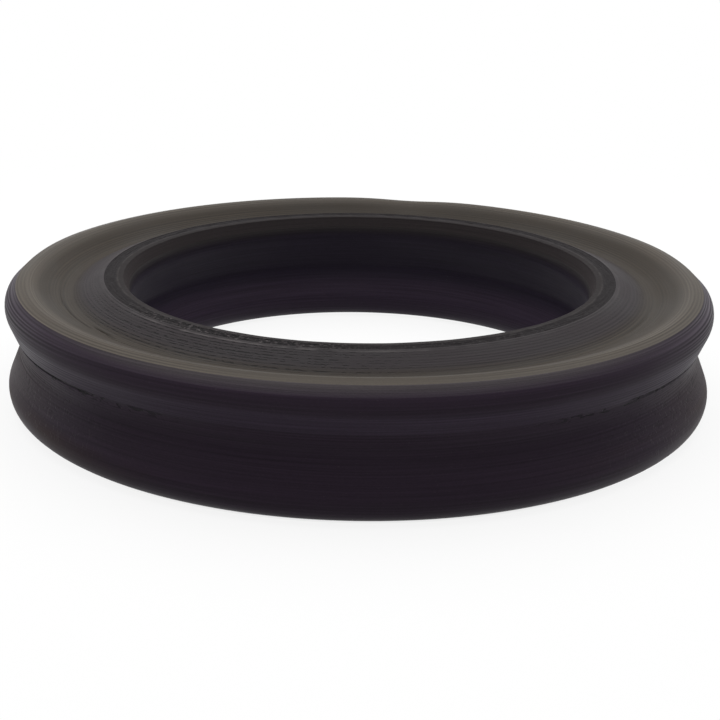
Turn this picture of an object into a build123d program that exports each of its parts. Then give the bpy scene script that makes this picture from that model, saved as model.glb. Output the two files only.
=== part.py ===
from build123d import *
from math import acos, asin, cos, degrees, radians, sin, tan
import os

os.makedirs("parts", exist_ok=True)

# X-ring: a rubber seal of four-lobed section, lathe cut in one piece.
# All sizes are in millimetres. The ring lies flat, its axis is +Z,
# and the origin is on the axis, half way up.

# Nominal size of the seal
bore_diameter = 20.22        # across the crests of the inner lobes
section = 5.33               # radial width, and height, of the section

# The four lobes and the V grooves between them
lobe_radius = 0.89
flank_angle = 22.5           # how steeply a groove's sides fall away from its face
groove_root_radius = 0.8

# Upper outer lobe: the tool left two narrow flats, which meet in a sharp edge.
# Angles round the lobe, from level and outwards to straight up
bevel_start_angle = 30.0
sharp_edge_angle = 63.0
crest_flat_end_angle = 90.0

# Upper bore rim, where the ring was parted from its tube: a lip that was never
# rounded, and a shallow torn band on the crest beside it
lip_setback = 0.31           # lip's edge, outwards from the bore
lip_drop = 0.055             # lip's edge, down from the crest
torn_band_setback = 0.59     # band's inner edge, outwards from the bore
torn_band_width = 0.54
torn_band_depth = 0.06

# V scores that the tool left in the outer groove and in the upper one
score_depth = 0.08
rim_score_height = 0.675     # above the ring's middle plane
face_score_offset = 0.085    # from the groove's middle, towards the bore

# Places in the section, measured from its centre
half_section = section / 2
section_centre_radius = bore_diameter / 2 + half_section
lobe_offset = half_section - lobe_radius

# A groove's flank leaves its lobe at a tangent, and would meet the opposite
# flank in a sharp root. "Out" is towards the groove's face, "along" is across it
flank_slope = tan(radians(flank_angle))
flank_end_out = lobe_offset + lobe_radius * cos(radians(flank_angle))
flank_end_along = lobe_offset - lobe_radius * sin(radians(flank_angle))
sharp_root_out = flank_end_out - flank_end_along * flank_slope
round_root_out = sharp_root_out + groove_root_radius * (1 / cos(radians(flank_angle)) - 1)

# The lip's edge, and the two tangents from it to the round of its lobe
inner_lobe = Vector(-lobe_offset, lobe_offset)
lip_edge = Vector(lip_setback - half_section, half_section - lip_drop)
lip_reach = lip_edge - inner_lobe
lip_spread = degrees(acos(lobe_radius / lip_reach.length))
lobe_towards_lip = lip_reach.normalized() * lobe_radius
lip_on_crest = inner_lobe + lobe_towards_lip.rotate(Axis.Z, -lip_spread)
lip_in_bore = inner_lobe + lobe_towards_lip.rotate(Axis.Z, lip_spread)

# Middle of the torn band, along the section's width
torn_band_middle = torn_band_setback + torn_band_width / 2 - half_section

# Where each score sits, and which way its mouth points: one is on the straight
# flank of the outer groove, the other on the round root of the upper groove
rim_score_out = sharp_root_out + rim_score_height * flank_slope
root_slope = degrees(asin(face_score_offset / groove_root_radius))
face_score_out = round_root_out + groove_root_radius * (1 - cos(radians(root_slope)))
score_profile = [
    (-score_depth, 0),
    (score_depth, -2 * score_depth),
    (score_depth, 2 * score_depth),
]


def groove(turn):
    """One V groove with a round root, on the side of the section that the turn points to."""
    ends_and_root = [
        Vector(flank_end_out, -flank_end_along),
        Vector(sharp_root_out, 0),
        Vector(flank_end_out, flank_end_along),
    ]
    FilletPolyline([point.rotate(Axis.Z, turn) for point in ends_and_root], radius=groove_root_radius)


def lobe(turn, flats=()):
    """One round lobe, after the groove on the same turn, with flats between the angles given."""
    centre = Vector(lobe_offset, lobe_offset).rotate(Axis.Z, turn)
    start = -flank_angle
    end = 90 + flank_angle
    if flats:
        CenterArc(centre, lobe_radius, turn + start, flats[0] - start)
        Polyline([centre + Vector(lobe_radius, 0).rotate(Axis.Z, turn + angle) for angle in flats])
        start = flats[-1]
    CenterArc(centre, lobe_radius, turn + start, end - start)


section_plane = Plane.XZ.shift_origin((section_centre_radius, 0, 0))

with BuildPart() as x_ring:
    with BuildSketch(section_plane) as cross_section:
        # Four sides of the section, each a groove and then a lobe
        with BuildLine():
            for turn in (0, 90, 180, 270):
                groove(turn)
            lobe(0, flats=(bevel_start_angle, sharp_edge_angle, crest_flat_end_angle))
            for turn in (90, 180, 270):
                lobe(turn)
        make_face()

        # Lip at the upper bore rim
        with BuildLine():
            Polyline(inner_lobe, lip_on_crest, lip_edge, lip_in_bore, close=True)
        make_face()

        # Torn band beside the lip
        with Locations((torn_band_middle, half_section)):
            Rectangle(torn_band_width, 2 * torn_band_depth, mode=Mode.SUBTRACT)

        # Tool scores, V cuts whose mouths stand clear of the surface
        with Locations(
            Location((rim_score_out, rim_score_height), -flank_angle),
            Location((-face_score_offset, face_score_out), 90 - root_slope),
        ):
            Polygon(score_profile, mode=Mode.SUBTRACT)
    revolve(axis=Axis.Z)

x_ring.part.label = "x_ring"
export_step(x_ring.part, "parts/x_ring.step")
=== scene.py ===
"""Looks for a lathe-cut rubber x-ring, laid out as a Blender add-on.

The ring is one turned surface: the outline of its section, swept once round the axis, with the marks that
the cutting tools left worked into it. Lengths in the code are metres, and the settings show millimetres.
"""

from math import acos, atan2, ceil, cos, hypot, pi, radians, sin, tan

import bpy
import numpy as np
from mathutils import Matrix, Vector


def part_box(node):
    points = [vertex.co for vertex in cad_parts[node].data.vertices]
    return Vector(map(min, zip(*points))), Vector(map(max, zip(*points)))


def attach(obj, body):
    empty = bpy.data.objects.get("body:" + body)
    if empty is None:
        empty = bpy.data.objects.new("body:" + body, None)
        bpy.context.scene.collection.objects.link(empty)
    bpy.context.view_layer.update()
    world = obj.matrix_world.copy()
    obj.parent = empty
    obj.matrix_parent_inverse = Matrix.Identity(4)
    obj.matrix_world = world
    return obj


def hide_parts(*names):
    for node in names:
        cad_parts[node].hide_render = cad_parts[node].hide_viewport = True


bl_info = {
    "name": "X-ring",
    "version": (1, 0, 0),
    "blender": (4, 5, 0),
    "location": "View3D > Sidebar > X-ring",
    "description": "Builds a lathe-cut rubber x-ring and the studio that it is shown in",
    "category": "Add Mesh",
}

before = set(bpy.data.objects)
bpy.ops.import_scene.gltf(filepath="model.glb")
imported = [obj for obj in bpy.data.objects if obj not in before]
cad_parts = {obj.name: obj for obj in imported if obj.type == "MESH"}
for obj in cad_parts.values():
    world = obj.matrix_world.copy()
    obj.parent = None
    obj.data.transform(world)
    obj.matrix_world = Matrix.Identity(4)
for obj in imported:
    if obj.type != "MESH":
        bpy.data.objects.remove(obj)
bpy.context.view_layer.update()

MM = 0.001
NODE = "x_ring"

# The solid's box gives the ring's two driving sizes
ring_low, ring_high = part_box(NODE)
HALF_SECTION = ring_high.z
OUTER_RADIUS = ring_high.x
SECTION_CENTRE = OUTER_RADIUS - HALF_SECTION

# How the surface is divided, in columns round the ring and steps along the outline
COLUMNS = 200
FINE_STEP = 0.025 * MM
MIDDLE_STEP = 0.06 * MM
COARSE_STEP = 0.12 * MM

# The ring's materials, in the order of the mesh's slots
CUT, TURNED, TORN = range(3)

# Directions from the ring's centre, to the right and to the back: where the tool and the tearing left the
# roughest marks, and where the edges are worn most
ROUGH_SIDE = (-0.5, -0.87)
WORN_SIDE = (-0.34, -0.94)

# The camera's sensor in millimetres, and the photograph's side in pixels
SENSOR_WIDTH = 36.0
PICTURE_PIXELS = 720

WHITE = (1.0, 1.0, 1.0, 1.0)


def length(name, description, default):
    """A length that the sidebar shows in the scene's unit."""
    return bpy.props.FloatProperty(
        name=name, description=description, default=default, unit="LENGTH", precision=5
    )


def turn_angle(name, description, default):
    """An angle, written here in degrees."""
    return bpy.props.FloatProperty(
        name=name, description=description, default=radians(default), subtype="ANGLE"
    )


def share(name, description, default, most=1.0):
    """A plain number from nought to the most that is useful."""
    return bpy.props.FloatProperty(
        name=name, description=description, default=default, min=0.0, max=most, precision=3
    )


def colour(name, description, default):
    """A linear colour."""
    return bpy.props.FloatVectorProperty(
        name=name, description=description, default=default, size=3, subtype="COLOR", min=0.0, max=1.0
    )


class XRingShape(bpy.types.PropertyGroup):
    """Sizes of the section and of the marks that turning left on it."""

    lobe_radius: length("Lobe radius", "Radius of the four lobes", 0.89 * MM)
    flank_angle: turn_angle("Flank angle", "How steeply a groove's sides fall away from its face", 22.5)
    groove_root_radius: length("Groove root radius", "Round at the bottom of each groove", 0.8 * MM)
    bevel_start: turn_angle("Bevel start", "Where the upper outer lobe's lower flat begins, from level", 30.0)
    sharp_edge: turn_angle("Sharp edge", "Where the two flats meet, from level", 63.0)
    crest_flat_end: turn_angle("Crest flat end", "Where the upper flat ends, from level", 90.0)
    lip_setback: length("Lip setback", "Lip's edge, outwards from the bore", 0.31 * MM)
    lip_drop: length("Lip drop", "Lip's edge, down from the crest", 0.055 * MM)
    band_setback: length("Torn band setback", "Torn band's inner edge, outwards from the bore", 0.59 * MM)
    band_width: length("Torn band width", "Width of the torn band", 0.54 * MM)
    band_depth: length("Torn band depth", "Depth of the torn band", 0.06 * MM)
    score_depth: length("Score depth", "Depth of the scores in the outer and the upper groove", 0.08 * MM)
    rim_score_height: length("Rim score height", "Outer groove's score, above the middle plane", 0.675 * MM)
    face_score_offset: length("Face score offset", "Upper groove's score, towards the bore", 0.085 * MM)
    rim_feed: length("Rim feed", "Step of the tool on the rim between two turns", 0.135 * MM)
    face_feed: length("Face feed", "Step of the tool on the upper face between two turns", 0.15 * MM)
    unevenness: length("Unevenness", "How far the ring strays from an even section", 0.075 * MM)


class XRingFinish(bpy.types.PropertyGroup):
    """Colours and surface of the rubber."""

    black: colour("Black", "Cut rubber", (0.024, 0.0155, 0.026))
    # Brown also tints the rim on the ring's left and right as painted sheen
    brown: colour("Brown black", "Cut rubber where it has bloomed", (0.033, 0.021, 0.0195))
    # Flank also gives the painted bounce light from the floor low in the bore
    flank: colour(
        "Flank", "Scuffed strips beside the outer groove's score and low in the bore", (0.033, 0.0228, 0.038)
    )
    bore: colour("Bore", "Cut rubber in the bore", (0.0155, 0.011, 0.021))
    lip: colour("Lip", "Lip of the upper bore rim", (0.019, 0.016, 0.0165))
    land: colour("Land", "Turned land beside the sharp edge", (0.066, 0.055, 0.044))
    groove: colour("Groove", "Turned rubber in the upper groove", (0.024, 0.018, 0.0125))
    crest: colour("Crest", "Turned rubber on the inner crest", (0.0195, 0.0152, 0.0172))
    torn: colour("Torn", "Torn band at the bore rim", (0.0115, 0.0095, 0.0105))
    # Scuffed also gives the painted light below the sharp edge
    scuffed: colour("Scuffed", "Fresh edges and specks of torn rubber", (0.1, 0.09, 0.09))
    cut_gloss: share("Cut gloss", "Specular level of the cut rubber", 0.1)
    turned_gloss: share("Turned gloss", "Specular level of the turned rubber", 0.075)
    torn_gloss: share("Torn gloss", "Specular level of the torn rubber", 0.03)
    roughness: share("Roughness", "Roughness of the cut rubber", 0.5)


class XRingStudio(bpy.types.PropertyGroup):
    """Camera, lamp and floor."""

    focal_length: bpy.props.FloatProperty(
        name="Focal length",
        description="Focal length on a 36 mm wide sensor",
        default=70.035,
        min=1.0,
        unit="CAMERA",
    )
    distance: length("Distance", "From the ring's centre to the camera", 63.28 * MM)
    elevation: turn_angle("Elevation", "Height of the camera above the ring's middle plane", 17.486)
    roll: turn_angle("Roll", "Turn of the camera about its own axis", 0.911)
    centre_right: bpy.props.FloatProperty(
        name="Centre right",
        description="Ring's centre in the picture, right of its middle, in pixels of 720",
        default=-0.81,
    )
    centre_down: bpy.props.FloatProperty(
        name="Centre down",
        description="Ring's centre in the picture, below its middle, in pixels of 720",
        default=-34.08,
    )
    floor_colour: colour("Floor", "Pale floor", (0.65, 0.65, 0.65))
    floor_shadow: share("Floor shadow", "How much of the ring's shadow the white floor shows", 0.12)
    lamp_distance: length("Lamp distance", "From the ring's centre to the overhead lamp", 180 * MM)
    lamp_tilt: turn_angle("Lamp tilt", "From straight up to the lamp, towards the back", 15.0)
    lamp_spread: turn_angle("Lamp spread", "From the lamp's middle to its rim, seen from the ring", 40.0)
    lamp_strength: share("Lamp strength", "Radiance of the overhead lamp, where 1 is white", 2.3, 10.0)
    fill_strength: share("Fill strength", "Radiance of the surroundings, where 1 is white", 0.15)


# Section


def rotated(points, turn):
    """Points turned about the section's centre by whole quarter turns."""
    c, s = [(1, 0), (0, 1), (-1, 0), (0, -1)][turn % 4]
    return np.stack([points[:, 0] * c - points[:, 1] * s, points[:, 0] * s + points[:, 1] * c], axis=1)


def arc(centre, radius, start, end, step):
    """Points along an arc, without the last: the centre plus the radius times the cosine and the sine of
    evenly spaced angles."""
    count = max(2, ceil(abs(end - start) * radius / step))
    angle = start + (end - start) * np.arange(count) / count
    return np.stack([centre[0] + radius * np.cos(angle), centre[1] + radius * np.sin(angle)], axis=1)


def run(start, end, step):
    """Evenly spaced points along a straight run, without the last."""
    start, end = np.array(start), np.array(end)
    count = max(1, ceil(float(np.hypot(*(end - start))) / step))
    return start + (end - start) * (np.arange(count) / count)[:, None]


def lip_angles(shape):
    """Where the lip's edge lies round its lobe, from level and outwards, and how far round the lobe its two
    tangents reach from there: the angle whose cosine is the lobe's radius over the edge's distance."""
    across, up = shape.lip_setback - shape.lobe_radius, shape.lobe_radius - shape.lip_drop
    return atan2(up, across), acos(shape.lobe_radius / hypot(across, up))


def section_outline(shape):
    """The closed outline of the section as radius, height and arc length, with the arc length of each mark.

    Each side of the section is a V groove with a round root, whose straight flanks leave the lobes at a
    tangent, and then a lobe, which is an arc. The sides are built on the right and given quarter turns. On
    the upper outer lobe two chords take the place of part of the arc, and they meet in a sharp edge.
    """
    slope = shape.flank_angle
    lobe = shape.lobe_radius
    offset = HALF_SECTION - lobe
    flank_out = offset + lobe * cos(slope)
    flank_along = offset - lobe * sin(slope)
    root = shape.groove_root_radius
    root_centre = flank_out - flank_along * tan(slope) + root / cos(slope)
    root_out = root_centre - root * cos(slope)
    root_along = root * sin(slope)
    start, end = -slope, pi / 2 + slope

    def on_lobe(angle):
        return offset + lobe * cos(angle), offset + lobe * sin(angle)

    pieces, marks, total = [], {}, 0.0

    def add(points, turn, mark):
        nonlocal total
        points = rotated(points, turn)
        if pieces:
            total += float(np.hypot(*(points[0] - pieces[-1][-1])))
        marks[mark] = total
        total += float(np.hypot(*np.diff(points, axis=0).T).sum())
        pieces.append(points)

    # Turn, and the steps along the groove's first flank, root and second flank, and along the lobe
    sides = [
        (-1, COARSE_STEP, COARSE_STEP, COARSE_STEP, COARSE_STEP),
        (0, MIDDLE_STEP, FINE_STEP, FINE_STEP, FINE_STEP),
        (1, FINE_STEP, FINE_STEP, FINE_STEP, FINE_STEP),
        (2, COARSE_STEP, COARSE_STEP, MIDDLE_STEP, COARSE_STEP),
    ]
    for turn, first, middle, second, round_step in sides:
        add(run((flank_out, -flank_along), (root_out, -root_along), first), turn, f"flank_{turn}")
        add(arc((root_centre, 0), root, pi + slope, pi - slope, middle), turn, f"root_{turn}")
        add(run((root_out, root_along), (flank_out, flank_along), second), turn, f"root_end_{turn}")
        if turn == 0:
            corners = [on_lobe(a) for a in (shape.bevel_start, shape.sharp_edge, shape.crest_flat_end)]
            add(arc((offset, offset), lobe, start, shape.bevel_start, round_step), turn, "lobe_0")
            add(run(corners[0], corners[1], round_step), turn, "bevel")
            add(run(corners[1], corners[2], round_step), turn, "sharp_edge")
            add(arc((offset, offset), lobe, shape.crest_flat_end, end, round_step), turn, "crest_flat_end")
        elif turn == 1:
            add(arc((offset, offset), lobe, start, pi / 2, FINE_STEP), turn, "lobe_1")
            add(arc((offset, offset), lobe, pi / 2, end, COARSE_STEP), turn, "bore_side")
        else:
            add(arc((offset, offset), lobe, start, end, round_step), turn, f"lobe_{turn}")

    # On the upper bore rim: the torn band's two edges, and the lip's edge and its end in the bore
    def on_rim(angle):
        return marks["lobe_1"] + lobe * (angle - pi / 2 + slope)

    marks["band_edge"] = on_rim(acos((shape.band_setback + shape.band_width) / lobe - 1))
    marks["band_end"] = on_rim(acos(shape.band_setback / lobe - 1))
    lip_turn, lip_spread = lip_angles(shape)
    marks["lip"] = on_rim(lip_turn)
    marks["lip_end"] = on_rim(lip_turn + lip_spread)

    # The scores, on the outer groove's upper flank and on the upper groove's root
    past_root = shape.rim_score_height / cos(slope) - root_along / cos(slope)
    marks["rim_score"] = marks["root_end_0"] + past_root
    marks["face_score"] = (marks["root_1"] + marks["root_end_1"]) / 2 + shape.face_score_offset

    outline = np.concatenate(pieces)
    along = np.concatenate([[0.0], np.cumsum(np.hypot(*np.diff(outline, axis=0).T))])
    return SECTION_CENTRE + outline[:, 0], outline[:, 1], along, marks


# Marks on the surface


# What strays along the ring: the seed, the number of waves, their most turns round the ring, and their pitch
# across the section, nought for a mark that runs along one line
STRAYS = {
    "lip": (11, 40, 40, 0),
    "torn_band": (12, 60, 90, 0.25 * MM),
    "rim_score": (13, 50, 80, 0),
    "face_score": (14, 30, 30, 0),
    "ridges": (15, 40, 9, 0.3 * MM),
    "feed": (16, 20, 3, 0.5 * MM),
    "section": (17, 16, 5, 4 * MM),
    "wear": (18, 40, 90, 0),
}


def wander(angle, along, name):
    """A smooth random height of about one, without a seam: the sum of cosines, each running round the ring in
    a whole number of turns and across the section with a random wavelength near the pitch."""
    seed, waves, most_turns, pitch = STRAYS[name]
    source = np.random.default_rng(seed)
    turns = source.integers(1, most_turns + 1, waves)
    across = source.normal(0.0, 2 * pi / pitch, waves) if pitch else np.zeros(waves)
    phase = source.uniform(0, 2 * pi, waves)
    height = sum(np.cos(t * angle + a * along + p) for t, a, p in zip(turns, across, phase))
    return height / np.sqrt(waves / 2)


def window(value, start, end, edge):
    """One between start and end, nought outside, with smooth edges of the given width."""
    rise = np.clip((value - start) / edge + 0.5, 0, 1)
    fall = np.clip((end - value) / edge + 0.5, 0, 1)
    return rise * rise * (3 - 2 * rise) * fall * fall * (3 - 2 * fall)


def ramp(value, low, high):
    """Passes smoothly from nought to one as the value passes from low to high."""
    rise = np.clip((value - low) / (high - low), 0, 1)
    return rise * rise * (3 - 2 * rise)


def score(along, place, depth):
    """A V cut, as deep as half its width: the depth falls off evenly on both sides of its place."""
    return np.clip(depth - np.abs(along - place), 0, None)


def lip_height(radius, height, along, angle, shape):
    """How far the lip stands out. It carries the round of its lobe out along two tangents, which meet at its
    edge: the lobe's radius over the cosine of the angle from a tangent's start, less the radius."""
    lobe = shape.lobe_radius
    offset = HALF_SECTION - lobe
    lobe_across = radius - (SECTION_CENTRE - offset)
    lobe_up = height - offset
    lip_turn, lip_spread = lip_angles(shape)
    from_lip = np.abs(np.arctan2(lobe_up, lobe_across) - lip_turn)
    # The points of this lobe, with a little to spare for rounding
    on_lobe = np.hypot(lobe_across, lobe_up) < lobe * 1.01
    within = np.clip(lip_spread - from_lip, 0, None) * on_lobe
    return lobe * (1 / np.cos(within) - 1) * (1 + 0.02 * wander(angle, along, "lip"))


def torn_band_depth(height, along, angle, marks, shape):
    """How deep the torn band is cut: down to a level floor, which its tearing leaves uneven."""
    band = window(along, marks["band_edge"], marks["band_end"], FINE_STEP)
    floor = HALF_SECTION - shape.band_depth
    return np.clip(height - floor, 0, None) * band * (1 + 0.2 * wander(angle, along, "torn_band"))


def rim_score_depth(along, angle, marks, shape):
    """Depth of the score in the outer groove, which is uneven and deepest on both sides."""
    right = np.cos(angle)
    depth = score(along, marks["rim_score"], shape.score_depth)
    depth = depth * np.clip(7 * (np.abs(right) - 0.62), 0, 1.2) * (1 - 0.35 * np.clip(right, 0, 1))
    return depth * np.clip(1 + 0.3 * wander(angle, along, "rim_score"), 0, 1.3)


def face_score_depth(along, angle, marks, shape):
    """Depth of the score in the upper groove, which shows at the front on both sides, is broken, and steps
    outwards twice on the left."""
    right = np.cos(angle)
    steps = ramp(-right, 0.81, 0.83) + window(-right, 0.3, 0.745, 0.03)
    place = marks["face_score"] - (0.12 * MM + 0.26 * MM * steps)
    depth = score(along, place, 0.85 * shape.score_depth)
    strength = 1.4 * ramp(-right, 0.6, 0.7) + 0.5 * ramp(right, 0.7, 0.85)
    strength = ramp(-np.sin(angle), 0.1, 0.45) * strength
    return depth * np.clip(strength * (1 + 0.3 * wander(angle, along, "face_score")), 0, 1)


def feed_ridges(along, angle, marks, shape):
    """The number of turns of the work that the tool has cut for, and the strength of the ridges that it left,
    one for each turn. They come and go slowly, and fade at the front and the back, on the rim most."""
    sides = np.abs(np.cos(angle))
    edge = marks["sharp_edge"]
    feed = np.minimum(along, edge) / shape.rim_feed + np.maximum(along - edge, 0) / shape.face_feed
    feed = feed + 0.15 * wander(angle, along, "feed")
    rim = window(along, marks["root_0"], edge, 0.3 * MM) * (0.08 + 1.1 * ramp(sides, 0.65, 0.97))
    flank = window(along, marks["rim_score"], marks["lobe_0"], 0.2 * MM)
    rim = np.maximum(rim, 0.75 * flank * ramp(sides, 0.5, 0.8))
    face = window(along, edge, marks["crest_flat_end"] + 0.5 * MM, 0.1 * MM)
    face = face + window(along, marks["root_1"] - 0.6 * MM, marks["band_edge"], 0.3 * MM)
    ridged = rim + face * (0.2 + 0.8 * ramp(sides, 0.1, 0.45)) * (1 - 0.45 * ramp(sides, 0.85, 1))
    return feed, ridged * np.clip(1 + 0.2 * wander(angle, along, "ridges"), 0, 1.4)


def section_strays(height, along, angle, marks):
    """How far the ring stands out from an even section, about nought to one. At the back the land stands
    higher, but for one dent, and the lower outer lobe is full. A slow unevenness fades out to the floor."""
    dent_place, dent_width = 1.39, 0.13
    dent = 1.3 * np.exp(-(((angle - dent_place) / dent_width) ** 2))
    at_back = ramp(np.sin(angle), 0, 0.4) - dent
    land = window(along, marks["lobe_0"] + 0.6 * MM, marks["root_1"] - 0.6 * MM, 1.2 * MM)
    lower_lobe = window(along, marks["flank_0"] - 1.2 * MM, marks["root_0"] + 0.5 * MM, 0.8 * MM)
    slow = 0.05 * wander(angle, along, "section") * ramp(height, -HALF_SECTION, 0)
    return land * at_back + 0.6 * lower_lobe + slow


def edge_wear(along, angle, marks):
    """How pale the edges are worn, about nought to one: by the band, most at the front, and by the lip."""
    towards = WORN_SIDE[0] * np.cos(angle) + WORN_SIDE[1] * np.sin(angle)
    beside_band = window(along, marks["band_edge"] - 0.16 * MM, marks["band_edge"] - 0.06 * MM, 0.06 * MM)
    beside_band = beside_band * (0.12 + 0.4 * ramp(towards, 0.75, 0.95))
    at_lip = window(along, marks["band_end"] - 0.03 * MM, marks["band_end"] + 0.05 * MM, 0.05 * MM)
    worn = beside_band + 0.25 * at_lip
    return worn * np.clip(0.75 + 0.5 * wander(angle, along, "wear"), 0, 1.2)


def tool_marks(radius, height, along, angle, marks, shape):
    """How far each point of the surface stands out from the plain outline, in rows along the section and
    columns round the ring, and what the rubber's finish needs: the number of turns of the work that the tool
    has cut for, and the strength of the feed ridges, the depth in a score and the wear of an edge, each about
    nought to one."""
    lip = lip_height(radius, height, along, angle, shape)
    torn = torn_band_depth(height, along, angle, marks, shape)
    rim_score = rim_score_depth(along, angle, marks, shape)
    face_score = face_score_depth(along, angle, marks, shape)
    feed, ridged = feed_ridges(along, angle, marks, shape)
    uneven = shape.unevenness * section_strays(height, along, angle, marks)
    out = lip - torn - rim_score - face_score + uneven
    scored = (rim_score + face_score) / shape.score_depth
    worn = edge_wear(along, angle, marks)
    return out, feed, np.stack(np.broadcast_arrays(ridged, scored, worn), axis=-1)


def ring_surface(shape):
    """Points of the ring, their places on it, the tool's feed and their finish, and the outline's arc lengths
    and marks. The outline's points are moved along its normal by the tool marks, and swept round the axis."""
    radius, height, along, marks = section_outline(shape)
    angle = np.linspace(0, 2 * pi, COLUMNS, endpoint=False)
    ahead_radius = np.roll(radius, -1) - np.roll(radius, 1)
    ahead_height = np.roll(height, -1) - np.roll(height, 1)
    stride = np.hypot(ahead_radius, ahead_height)
    radius, height, along, angle = radius[:, None], height[:, None], along[:, None], angle[None, :]
    out, feed, finish = tool_marks(radius, height, along, angle, marks, shape)
    around = radius + out * (ahead_height / stride)[:, None]
    up = height - out * (ahead_radius / stride)[:, None]
    points = np.stack([around * np.cos(angle), around * np.sin(angle), up + 0 * angle], axis=-1)
    places = np.stack(np.broadcast_arrays(np.cos(angle), np.sin(angle), along / MM), axis=-1)
    return points, places, feed + 0 * angle, finish, along[:, 0], marks


def closed_grid(name, points):
    """A mesh of quads over a grid that closes on itself both ways, with its faces outwards."""
    rows, columns = points.shape[:2]
    index = np.arange(rows * columns).reshape(rows, columns)
    right, above = np.roll(index, -1, axis=1), np.roll(index, -1, axis=0)
    quads = np.stack([index, right, np.roll(right, -1, axis=0), above], axis=-1).reshape(-1, 4)
    mesh = bpy.data.meshes.new(name)
    mesh.vertices.add(points.size // 3)
    mesh.vertices.foreach_set("co", points.astype(np.float32).ravel())
    mesh.loops.add(quads.size)
    mesh.loops.foreach_set("vertex_index", quads.astype(np.int32).ravel())
    mesh.polygons.add(len(quads))
    mesh.polygons.foreach_set("loop_start", np.arange(0, quads.size, 4, dtype=np.int32))
    mesh.polygons.foreach_set("use_smooth", np.ones(len(quads), dtype=bool))
    mesh.update(calc_edges=True)
    mesh.validate()
    return mesh


# Rubber


class Graph:
    """Adds nodes to a tree. A socket is given another node's output, or a plain number or colour."""

    def __init__(self, tree):
        self.tree = tree

    def node(self, kind, inputs=None, **settings):
        node = self.tree.nodes.new(kind)
        for name, value in settings.items():
            setattr(node, name, value)
        for key, value in (inputs or {}).items():
            if isinstance(value, bpy.types.NodeSocket):
                self.tree.links.new(value, node.inputs[key])
            else:
                node.inputs[key].default_value = value
        return node

    def group(self, group, **inputs):
        return self.node("ShaderNodeGroup", inputs, node_tree=group).outputs

    def math(self, operation, first, second=0.0):
        return self.node("ShaderNodeMath", {0: first, 1: second}, operation=operation).outputs[0]

    def product(self, first, *others):
        for other in others:
            first = self.math("MULTIPLY", first, other)
        return first

    def sum(self, first, *others):
        for other in others:
            first = self.math("ADD", first, other)
        return first

    def step(self, value, low, high, start=0.0, end=1.0):
        """Passes smoothly from start to end as the value passes from low to high."""
        inputs = {"Value": value, "From Min": low, "From Max": high, "To Min": start, "To Max": end}
        return self.node("ShaderNodeMapRange", inputs, interpolation_type="SMOOTHSTEP").outputs[0]

    def strip(self, value, low, high, edge):
        """One between low and high and nought outside, with soft edges."""
        rise = self.step(value, low - edge / 2, low + edge / 2)
        return self.product(rise, self.step(value, high - edge / 2, high + edge / 2, 1.0, 0.0))

    def wave(self, turns):
        """The cosine of a number of whole turns."""
        return self.math("COSINE", self.product(turns, 2 * pi))

    def blend(self, factor, first, second):
        """From the first colour to the second. Sockets 6 and 7 and output 2 of the node are the colours."""
        node = self.node("ShaderNodeMix", {0: factor, 6: first, 7: second}, data_type="RGBA")
        return node.outputs[2]

    def tint(self, colour, factor):
        """A colour made darker or lighter."""
        return self.node("ShaderNodeVectorMath", {0: colour, 3: factor}, operation="SCALE").outputs[0]


def new_group(name, inputs, outputs):
    """An empty node group. Its sockets are numbers, and the one named Place is a vector."""
    tree = bpy.data.node_groups.new(name, "ShaderNodeTree")
    for direction, sockets in (("INPUT", inputs), ("OUTPUT", outputs)):
        for socket in sockets:
            kind = "NodeSocketVector" if socket == "Place" else "NodeSocketFloat"
            tree.interface.new_socket(socket, in_out=direction, socket_type=kind)
    graph = Graph(tree)
    return graph, graph.node("NodeGroupInput").outputs, graph.node("NodeGroupOutput").inputs


def cutting_streaks():
    """Noise drawn out along the cut, by a length round the ring and a width across it in millimetres."""
    graph, given, result = new_group("cutting_streaks", ["Place", "Length", "Width", "Detail"], ["Height"])
    place = graph.node("ShaderNodeSeparateXYZ", {0: given["Place"]}).outputs
    stretch = graph.math("DIVIDE", OUTER_RADIUS / MM, given["Length"])
    inputs = {
        0: graph.product(place[0], stretch),
        1: graph.product(place[1], stretch),
        2: graph.math("DIVIDE", place[2], given["Width"]),
    }
    vector = graph.node("ShaderNodeCombineXYZ", inputs).outputs[0]
    noise = graph.node("ShaderNodeTexNoise", {"Vector": vector, "Scale": 1.0, "Detail": given["Detail"]})
    graph.tree.links.new(noise.outputs[0], result["Height"])
    return graph.tree


def tool_tears(streaks):
    """Short dashes where the tool tore the rubber: the peaks of drawn out noise, above a level, as a mask."""
    graph, given, result = new_group("tool_tears", ["Place", "Length", "Width", "Level"], ["Mask"])
    sizes = {name: given[name] for name in ("Place", "Length", "Width")}
    height = graph.group(streaks, **sizes, Detail=1.0)["Height"]
    mask = graph.step(height, given["Level"], graph.sum(given["Level"], 0.08))
    graph.tree.links.new(mask, result["Mask"])
    return graph.tree


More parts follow.
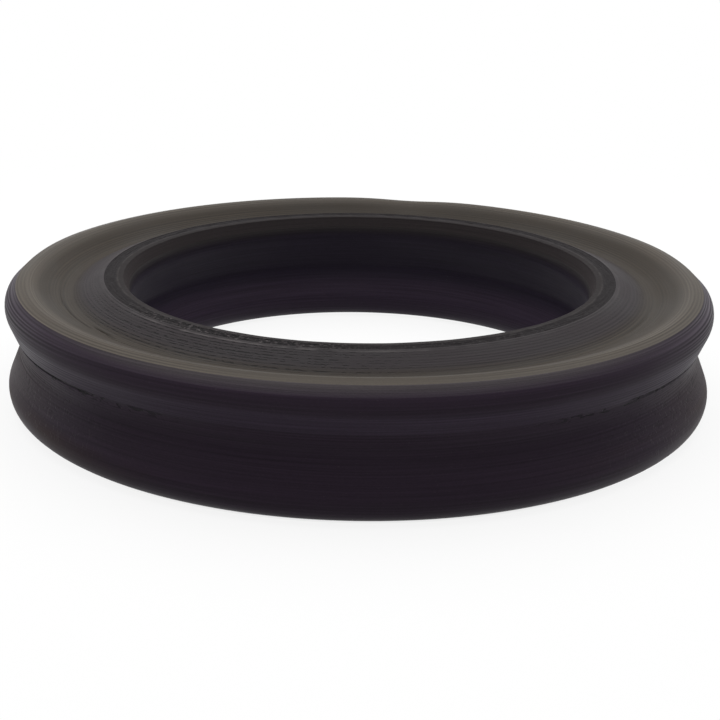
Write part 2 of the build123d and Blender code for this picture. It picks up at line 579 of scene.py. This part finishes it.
def rubber_skin(streaks):
    """What all the rubber has: the ridges that the tool left on each turn and fine lines along the cut, with
    painted light and shade where their slopes would catch the light, matt grain, slow bloom and pale specks.
    Heights are in millimetres."""
    inputs = ["Place", "Feed", "Ridged", "Ridge Shade", "Ridge Depth", "Line Shade", "Line Depth"]
    graph, given, result = new_group("rubber_skin", inputs, ["Ridge", "Shade", "Height", "Bloom", "Specks"])
    place = given["Place"]
    turns = graph.group(streaks, Place=place, Length=25.0, Width=0.5, Detail=1.0)["Height"]
    ridge = graph.product(graph.wave(given["Feed"]), graph.step(turns, 0.3, 0.6, 0.5, 1.2), given["Ridged"])
    lines = graph.group(streaks, Place=place, Length=8.0, Width=0.07, Detail=2.0)["Height"]
    slow = graph.group(streaks, Place=place, Length=7.0, Width=1.3, Detail=3.0)["Height"]
    specks = graph.group(streaks, Place=place, Length=0.12, Width=0.06, Detail=1.0)["Height"]
    grain = graph.group(streaks, Place=place, Length=0.1, Width=0.05, Detail=3.0)["Height"]
    lines = graph.math("SUBTRACT", lines, 0.5)
    # Painted light and shade of the ridges and the fine lines, and the grain's own tone
    shade = graph.product(ridge, given["Ridge Shade"])
    shade = graph.sum(1.0, shade, graph.product(lines, given["Line Shade"]))
    shade = graph.sum(shade, graph.product(graph.math("SUBTRACT", grain, 0.5), 0.35))
    height = graph.product(ridge, given["Ridge Depth"])
    height = graph.sum(height, graph.product(lines, given["Line Depth"]))
    graph.tree.links.new(ridge, result["Ridge"])
    graph.tree.links.new(graph.math("MAXIMUM", shade, 0.1), result["Shade"])
    graph.tree.links.new(graph.sum(height, graph.product(grain, 0.004)), result["Height"])
    graph.tree.links.new(graph.step(slow, 0.35, 0.65), result["Bloom"])
    graph.tree.links.new(graph.step(specks, 0.7, 0.78), result["Specks"])
    return graph.tree


class Rubber:
    """One material of the rubber, while it is being built. Its shades and depths say how much the ridges and
    the fine lines change the colour, and how high they stand in millimetres."""

    def __init__(self, name, gloss, skin, ridge_shade, ridge_depth, line_shade, line_depth):
        self.material = bpy.data.materials.new(name)
        self.material.use_nodes = True
        self.shader = self.material.node_tree.nodes["Principled BSDF"]
        self.shader.inputs["Specular IOR Level"].default_value = gloss
        self.graph = graph = Graph(self.material.node_tree)
        self.place = graph.node("ShaderNodeAttribute", attribute_name="turning").outputs["Vector"]
        parts = graph.node("ShaderNodeSeparateXYZ", {0: self.place}).outputs
        self.right, self.back, self.along = parts[0], parts[1], parts[2]
        finish = graph.node("ShaderNodeAttribute", attribute_name="finish").outputs["Vector"]
        ridged, self.scored, self.worn = graph.node("ShaderNodeSeparateXYZ", {0: finish}).outputs
        self.feed = graph.node("ShaderNodeAttribute", attribute_name="feed").outputs["Fac"]
        skin_inputs = {"Place": self.place, "Feed": self.feed, "Ridged": ridged, "Ridge Shade": ridge_shade}
        skin_inputs |= {"Ridge Depth": ridge_depth, "Line Shade": line_shade, "Line Depth": line_depth}
        self.skin = graph.group(skin, **skin_inputs)

    def finish(self, colour, roughness, height):
        """Joins the colour, the roughness and the height in millimetres to the shader."""
        graph = self.graph
        bump = graph.node("ShaderNodeBump", {"Height": height, "Distance": MM, "Strength": 1.0})
        graph.tree.links.new(colour, self.shader.inputs["Base Color"])
        graph.tree.links.new(roughness, self.shader.inputs["Roughness"])
        graph.tree.links.new(bump.outputs["Normal"], self.shader.inputs["Normal"])
        return self.material

    def at_front(self, low, high):
        """One at the front of the ring, and nought elsewhere."""
        return self.graph.step(self.graph.product(self.back, -1.0), low, high)

    def at_sides(self, low, high):
        """One at the ring's left and right, and nought elsewhere."""
        return self.graph.step(self.graph.math("ABSOLUTE", self.right), low, high)

    def at_rough_side(self, low, high):
        """One at the front and left, where the tool and the tearing left the roughest marks."""
        graph = self.graph
        across, back = graph.product(self.right, ROUGH_SIDE[0]), graph.product(self.back, ROUGH_SIDE[1])
        return graph.step(graph.sum(across, back), low, high)


def plain(colour):
    """A colour with nothing seen through it."""
    return (*colour, 1.0)


# The materials are given the marks as places in millimetres along the outline


def cut_rubber(finish, marks, skin, tears):
    """The rim, the underside and the bore, as the knife left them: purple black, brown low on both sides in
    bloom patches and in a painted sheen, with a scuffed strip beside the rim's score, painted bounce light low
    in the bore, painted light below the sharp edge, most at the front, and tears along the score and below it,
    with painted shade in them and in the scores."""
    shades = {"ridge_shade": 0.4, "ridge_depth": 0.001, "line_shade": 1.1, "line_depth": 0.006}
    rubber = Rubber("cut_rubber", finish.cut_gloss, skin, **shades)
    graph, along, place, bloom = rubber.graph, rubber.along, rubber.place, rubber.skin["Bloom"]
    rim_score, root, lip_end = marks["rim_score"], marks["root_0"], marks["lip_end"]
    sharp_edge, low_bore = marks["sharp_edge"], marks["lobe_2"]
    sides = rubber.at_sides(0.4, 1.0)
    front = rubber.at_front(0.5, 0.95)

    # Strips along the outline: own colours, painted bounce light low in the bore, painted light below the sharp
    # edge
    above_score = graph.strip(along, rim_score + 0.1, marks["lobe_0"] + 0.1, 0.3)
    painted_bounce_in_bore = graph.strip(along, low_bore - 0.8, low_bore + 2.0, 1.0)
    scuff_and_bounce_strip = graph.math("MAXIMUM", above_score, painted_bounce_in_bore)
    in_bore = graph.strip(along, lip_end, low_bore, 0.6)
    under_lip = graph.strip(along, lip_end - 1.0, lip_end + 0.3, 0.6)
    # Painted light below the sharp edge, strong and wide at the front, with a faint pale strip all round
    edge_start = graph.sum(sharp_edge - 0.2, graph.product(front, -0.35))
    edge_strip_and_front_light = graph.step(along, edge_start, sharp_edge + 0.1)
    edge_strip_and_front_light = graph.product(edge_strip_and_front_light, graph.strip(along, 0.0, sharp_edge + 0.2, 0.1))
    edge_strip_and_front_light = graph.product(edge_strip_and_front_light, graph.sum(0.07, graph.product(front, 0.58)))
    # Painted sheen: the rim turns brown on the ring's left and right, in bloom patches low down and evenly
    # below the score
    bloom_and_sheen_at_sides = graph.product(bloom, graph.step(along, root - 1.4, root - 0.4, 1.0, 0.0), sides)
    below_score = graph.step(along, rim_score - 0.3, rim_score, 0.5, 0.0)
    brown_bloom_and_sheen = graph.math("MAXIMUM", bloom_and_sheen_at_sides, graph.product(rubber.at_sides(0.7, 1.0), below_score))

    # Pale scratches low on the rim, and tears darkened with painted shade in their dents: scuffs below the
    # score, and deeper ones beside it
    scratches = graph.group(tears, Place=place, Length=0.14, Width=0.2, Level=0.6)["Mask"]
    scratches = graph.product(scratches, graph.strip(along, root - 1.6, root + 0.1, 0.6), sides)
    scuffs = graph.group(tears, Place=place, Length=0.3, Width=0.14, Level=0.58)["Mask"]
    scuffs = graph.product(scuffs, graph.strip(along, rim_score - 1.9, rim_score - 0.1, 0.4), sides, 0.4)
    beside_score = graph.strip(along, rim_score - 0.16, rim_score + 0.1, 0.12)
    beside_score = graph.product(beside_score, rubber.at_sides(0.35, 0.6))
    torn = graph.group(tears, Place=place, Length=0.4, Width=0.14, Level=0.54)["Mask"]
    torn = graph.math("MAXIMUM", graph.product(torn, beside_score), scuffs)

    colour = graph.blend(in_bore, plain(finish.black), plain(finish.bore))
    colour = graph.blend(brown_bloom_and_sheen, colour, plain(finish.brown))
    colour = graph.blend(scuff_and_bounce_strip, colour, plain(finish.flank))
    colour = graph.blend(under_lip, colour, plain(finish.lip))
    colour = graph.blend(edge_strip_and_front_light, colour, plain(finish.scuffed))
    pale = graph.math("MAXIMUM", graph.product(scratches, 0.15), graph.product(rubber.skin["Specks"], 0.12))
    pale = graph.math("MAXIMUM", pale, graph.product(rubber.worn, 0.5))
    colour = graph.blend(pale, colour, plain(finish.scuffed))
    # Painted shade: the colour darkens in the scores, nearly to black at their bottom, and in the tears' dents
    painted_shade = graph.step(rubber.scored, 0.0, 0.9, 1.0, 0.05)
    painted_shade = graph.product(painted_shade, graph.sum(1.0, graph.product(torn, -0.8)))
    colour = graph.tint(colour, graph.product(rubber.skin["Shade"], painted_shade))
    height = graph.sum(rubber.skin["Height"], graph.product(torn, -0.02), graph.product(scratches, 0.006))
    matt = graph.strip(along, root - 1.5, rim_score, 0.3)
    roughness = graph.sum(finish.roughness - 0.04, graph.product(bloom, 0.08), graph.product(matt, 0.07))
    roughness = graph.sum(roughness, graph.product(rubber.skin["Ridge"], -0.08))
    return rubber.finish(colour, roughness, height)


def turned_rubber(finish, marks, skin, tears):
    """The upper face, turned with a finer tool: a warm grey land beside the sharp edge, the darker groove,
    and the inner crest with short tears between the feed ridges, most of them on one side."""
    shades = {"ridge_shade": 0.3, "ridge_depth": 0.0005, "line_shade": 0.6, "line_depth": 0.003}
    rubber = Rubber("turned_rubber", finish.turned_gloss, skin, **shades)
    graph, along, bloom = rubber.graph, rubber.along, rubber.skin["Bloom"]
    land_end, face_score = marks["root_1"] - 1.2, marks["face_score"]
    from_land = graph.sum(along, graph.product(rubber.at_front(0.5, 0.95), 0.45))
    off_land = graph.step(from_land, land_end - 0.2, land_end + 0.5)
    on_crest = graph.step(along, face_score - 0.1, face_score + 0.7)
    colour = graph.blend(off_land, plain(finish.land), plain(finish.groove))
    colour = graph.blend(on_crest, colour, plain(finish.crest))
    colour = graph.blend(rubber.worn, colour, plain(finish.scuffed))

    crest = graph.strip(along, face_score + 0.1, marks["band_edge"] - 0.1, 0.3)
    between = graph.step(graph.wave(rubber.feed), -0.8, 0.0, 1.0, 0.0)
    how_torn = graph.sum(0.2, graph.product(rubber.at_rough_side(0.7, 0.97), 0.9))
    dashes = graph.group(tears, Place=rubber.place, Length=0.3, Width=0.1, Level=0.47)["Mask"]
    dashes = graph.product(dashes, between, crest, how_torn)
    # Painted shade: darker in the upper groove's score and in the dents of the dashes
    painted_shade = graph.sum(1.0, graph.product(rubber.scored, -0.8))
    painted_shade = graph.product(painted_shade, graph.sum(1.0, graph.product(dashes, -0.65)))
    mottle = graph.sum(0.9, graph.product(bloom, 0.2))
    colour = graph.tint(colour, graph.product(rubber.skin["Shade"], painted_shade, mottle))
    height = graph.sum(rubber.skin["Height"], graph.product(dashes, -0.012))
    roughness = graph.sum(finish.roughness - 0.04, graph.product(bloom, 0.08))
    return rubber.finish(colour, roughness, height)


def torn_rubber(finish, marks, skin, streaks, tears):
    """The upper bore rim, where the ring was torn off its tube: a band that is crumbled and speckled, most of
    all on one side, and the plain lip beside it, which is lighter where it turns into the bore."""
    shades = {"ridge_shade": 0.0, "ridge_depth": 0.0, "line_shade": 0.5, "line_depth": 0.003}
    rubber = Rubber("torn_rubber", finish.torn_gloss, skin, **shades)
    graph, along, place = rubber.graph, rubber.along, rubber.place
    on_lip = graph.step(along, marks["band_end"] - 0.03, marks["band_end"] + 0.03)
    crumbs = graph.group(streaks, Place=place, Length=0.22, Width=0.14, Detail=2.0)["Height"]
    flakes = graph.group(tears, Place=place, Length=0.2, Width=0.12, Level=0.56)["Mask"]
    front = graph.product(rubber.at_front(0.5, 0.9), 0.25)
    how_rough = graph.sum(0.12, front, graph.product(rubber.at_rough_side(0.84, 0.98), 0.8))
    how_rough = graph.product(how_rough, graph.sum(1.0, graph.product(on_lip, -0.9)))
    pale = graph.math("MAXIMUM", graph.product(flakes, how_rough, 0.45), graph.product(rubber.worn, 0.8))
    colour = graph.blend(on_lip, plain(finish.torn), plain(finish.lip))
    colour = graph.blend(pale, colour, plain(finish.scuffed))
    # Painted shade and light on the crumbs: darker in their hollows, lighter on their tops
    painted_pit_shade = graph.product(graph.step(crumbs, 0.35, 0.6, -0.8, 0.3), how_rough)
    into_bore = graph.step(along, marks["lip"] - 0.05, marks["lip"] + 0.1, 1.0, 1.8)
    colour = graph.tint(colour, graph.product(rubber.skin["Shade"], graph.sum(1.0, painted_pit_shade), into_bore))
    height = graph.sum(rubber.skin["Height"], graph.product(crumbs, how_rough, 0.06))
    return rubber.finish(colour, graph.sum(finish.roughness, graph.product(crumbs, 0.2)), height)


class XRING_OT_build_ring(bpy.types.Operator):
    """Build the rubber ring with its tool marks"""

    bl_idname = "xring.build_ring"
    bl_label = "Rubber ring"

    def execute(self, context):
        shape, finish = context.scene.xring_shape, context.scene.xring_finish
        points, turning, feed, surface, along, marks = ring_surface(shape)
        mesh = closed_grid("x_ring_rubber", points)
        for name, values in (("turning", turning), ("finish", surface)):
            attribute = mesh.attributes.new(name, "FLOAT_VECTOR", "POINT")
            attribute.data.foreach_set("vector", values.astype(np.float32).ravel())
        attribute = mesh.attributes.new("feed", "FLOAT", "POINT")
        attribute.data.foreach_set("value", feed.astype(np.float32).ravel())

        streaks = cutting_streaks()
        tears, skin = tool_tears(streaks), rubber_skin(streaks)
        places = {name: mark / MM for name, mark in marks.items()}
        mesh.materials.append(cut_rubber(finish, places, skin, tears))
        mesh.materials.append(turned_rubber(finish, places, skin, tears))
        mesh.materials.append(torn_rubber(finish, places, skin, streaks, tears))

        # The last row of faces runs back to the outline's start, so the mean of its ends isn't its middle
        middle = (along + np.roll(along, -1)) / 2
        kind = np.full(len(middle), CUT)
        kind[(middle > marks["sharp_edge"]) & (middle < marks["band_edge"])] = TURNED
        kind[(middle > marks["band_edge"]) & (middle < marks["lip_end"])] = TORN
        kind[-1] = CUT
        mesh.polygons.foreach_set("material_index", np.repeat(kind, COLUMNS).astype(np.int32))

        ring = bpy.data.objects.new("x_ring_rubber", mesh)
        context.scene.collection.objects.link(ring)
        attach(ring, "root")
        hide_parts(NODE)
        return {"FINISHED"}


# Studio


class XRING_OT_build_stage(bpy.types.Operator):
    """Build the floor, the lamp and the camera"""

    bl_idname = "xring.build_stage"
    bl_label = "Studio"

    def execute(self, context):
        scene, studio = context.scene, context.scene.xring_studio
        place_camera(scene, studio)
        build_floor(scene, studio)
        hang_lamp(scene, studio)
        light_world(scene, studio)
        scene.view_settings.view_transform = "Standard"
        return {"FINISHED"}


def place_camera(scene, studio):
    """The camera looks at the ring's centre from the front and above, is rolled about that line, and is then
    turned so that the centre falls on its place in the picture."""
    data = bpy.data.cameras.new("camera")
    data.sensor_width = SENSOR_WIDTH
    data.lens = studio.focal_length
    data.clip_start, data.clip_end = 0.001, 10.0
    camera = bpy.data.objects.new("camera", data)
    scene.collection.objects.link(camera)
    scene.camera = camera
    back = Vector((0.0, -cos(studio.elevation), sin(studio.elevation)))
    right = Vector((1.0, 0.0, 0.0))
    up = back.cross(right)
    level = Matrix((right, up, back)).transposed()
    rolled = level @ Matrix.Rotation(studio.roll, 3, "Z")
    focal_pixels = studio.focal_length / SENSOR_WIDTH * PICTURE_PIXELS
    seen = Vector((studio.centre_right, -studio.centre_down, -focal_pixels)).normalized()
    turn = seen.rotation_difference(Vector((0.0, 0.0, -1.0))).inverted().to_matrix()
    camera.matrix_world = Matrix.Translation(back * studio.distance) @ (rolled @ turn.transposed()).to_4x4()


def white_to_the_eye(graph):
    """One where the camera, a reflection or glass looks at something, and nought where that only lights other
    things."""
    path = graph.node("ShaderNodeLightPath").outputs
    seen = graph.math("MAXIMUM", path["Is Camera Ray"], path["Is Glossy Ray"])
    return graph.math("MAXIMUM", seen, path["Is Transmission Ray"])


def build_floor(scene, studio):
    """A plain pale floor, which is white to the eye and keeps the ring's shadow, faint but for the strip
    under the ring."""
    reach, low = 20 * OUTER_RADIUS, ring_low.z
    mesh = bpy.data.meshes.new("floor")
    corners = [(-reach, -reach, low), (reach, -reach, low), (reach, reach, low), (-reach, reach, low)]
    mesh.from_pydata(corners, [], [(0, 1, 2, 3)])
    floor = bpy.data.objects.new("floor", mesh)
    scene.collection.objects.link(floor)

    material = bpy.data.materials.new("floor")
    material.use_nodes = True
    graph = Graph(material.node_tree)
    graph.tree.nodes.clear()
    place = graph.node("ShaderNodeTexCoord").outputs["Object"]
    flat = graph.node("ShaderNodeVectorMath", {0: place, 1: (1.0, 1.0, 0.0)}, operation="MULTIPLY").outputs[0]
    away = graph.node("ShaderNodeVectorMath", {0: flat}, operation="LENGTH").outputs["Value"]

    # Across the section, from -1 at the bore to 1 at the rim. The strip under the ring keeps most of its shadow
    across = graph.math("DIVIDE", graph.math("SUBTRACT", away, SECTION_CENTRE), HALF_SECTION)
    faint, strong = studio.floor_shadow, 0.8
    outside = graph.step(across, 0.63, 0.83, strong, faint)
    inside = graph.step(across, -0.7, -0.66, faint, strong)
    under = graph.math("MINIMUM", outside, inside)
    shadow = graph.product(under, graph.step(away, 1.3 * OUTER_RADIUS, 4 * OUTER_RADIUS, 1.0, 0.0))
    paper = graph.node("ShaderNodeBsdfDiffuse", {"Color": plain(studio.floor_colour)}).outputs[0]
    white = graph.node("ShaderNodeEmission", {"Color": WHITE, "Strength": 1.0}).outputs[0]
    shaded = graph.node("ShaderNodeBsdfDiffuse", {"Color": WHITE}).outputs[0]
    shown = graph.node("ShaderNodeMixShader", {0: shadow, 1: white, 2: shaded}).outputs[0]
    surface = graph.node("ShaderNodeMixShader", {0: white_to_the_eye(graph), 1: paper, 2: shown}).outputs[0]
    graph.node("ShaderNodeOutputMaterial", {"Surface": surface})
    mesh.materials.append(material)


def hang_lamp(scene, studio):
    """A round soft lamp over the ring and a little behind it, which faces the ring's centre."""
    data = bpy.data.lights.new("overhead_lamp", "AREA")
    data.shape = "DISK"
    data.size = 2 * studio.lamp_distance * tan(studio.lamp_spread)
    data.energy = studio.lamp_strength * (pi * data.size / 2) ** 2
    lamp = bpy.data.objects.new("overhead_lamp", data)
    lamp.rotation_euler = (-studio.lamp_tilt, 0.0, 0.0)
    lamp.location = studio.lamp_distance * Vector((0.0, sin(studio.lamp_tilt), cos(studio.lamp_tilt)))
    lamp.visible_camera = False
    scene.collection.objects.link(lamp)


def light_world(scene, studio):
    """Surroundings that are white to the eye, and light things dimly."""
    world = bpy.data.worlds.new("studio")
    world.use_nodes = True
    graph = Graph(world.node_tree)
    strength = graph.step(white_to_the_eye(graph), 0.0, 1.0, studio.fill_strength, 1.0)
    background = world.node_tree.nodes["Background"]
    background.inputs["Color"].default_value = WHITE
    graph.tree.links.new(strength, background.inputs["Strength"])
    world.cycles.sampling_method = "NONE"
    scene.world = world


# Panel and start


class VIEW3D_PT_x_ring(bpy.types.Panel):
    """Lists the steps"""

    bl_label = "X-ring"
    bl_space_type = "VIEW_3D"
    bl_region_type = "UI"
    bl_category = "X-ring"

    def draw(self, context):
        for operator in OPERATORS:
            self.layout.operator(operator.bl_idname)


SETTINGS = {"xring_shape": XRingShape, "xring_finish": XRingFinish, "xring_studio": XRingStudio}
OPERATORS = (XRING_OT_build_ring, XRING_OT_build_stage)
CLASSES = (*SETTINGS.values(), *OPERATORS, VIEW3D_PT_x_ring)


def register():
    for item in CLASSES:
        bpy.utils.register_class(item)
    for name, group in SETTINGS.items():
        setattr(bpy.types.Scene, name, bpy.props.PointerProperty(type=group))


def unregister():
    for name in SETTINGS:
        delattr(bpy.types.Scene, name)
    for item in reversed(CLASSES):
        bpy.utils.unregister_class(item)


def main():
    register()
    bpy.ops.xring.build_ring()
    bpy.ops.xring.build_stage()


if __name__ == "__main__":
    main()
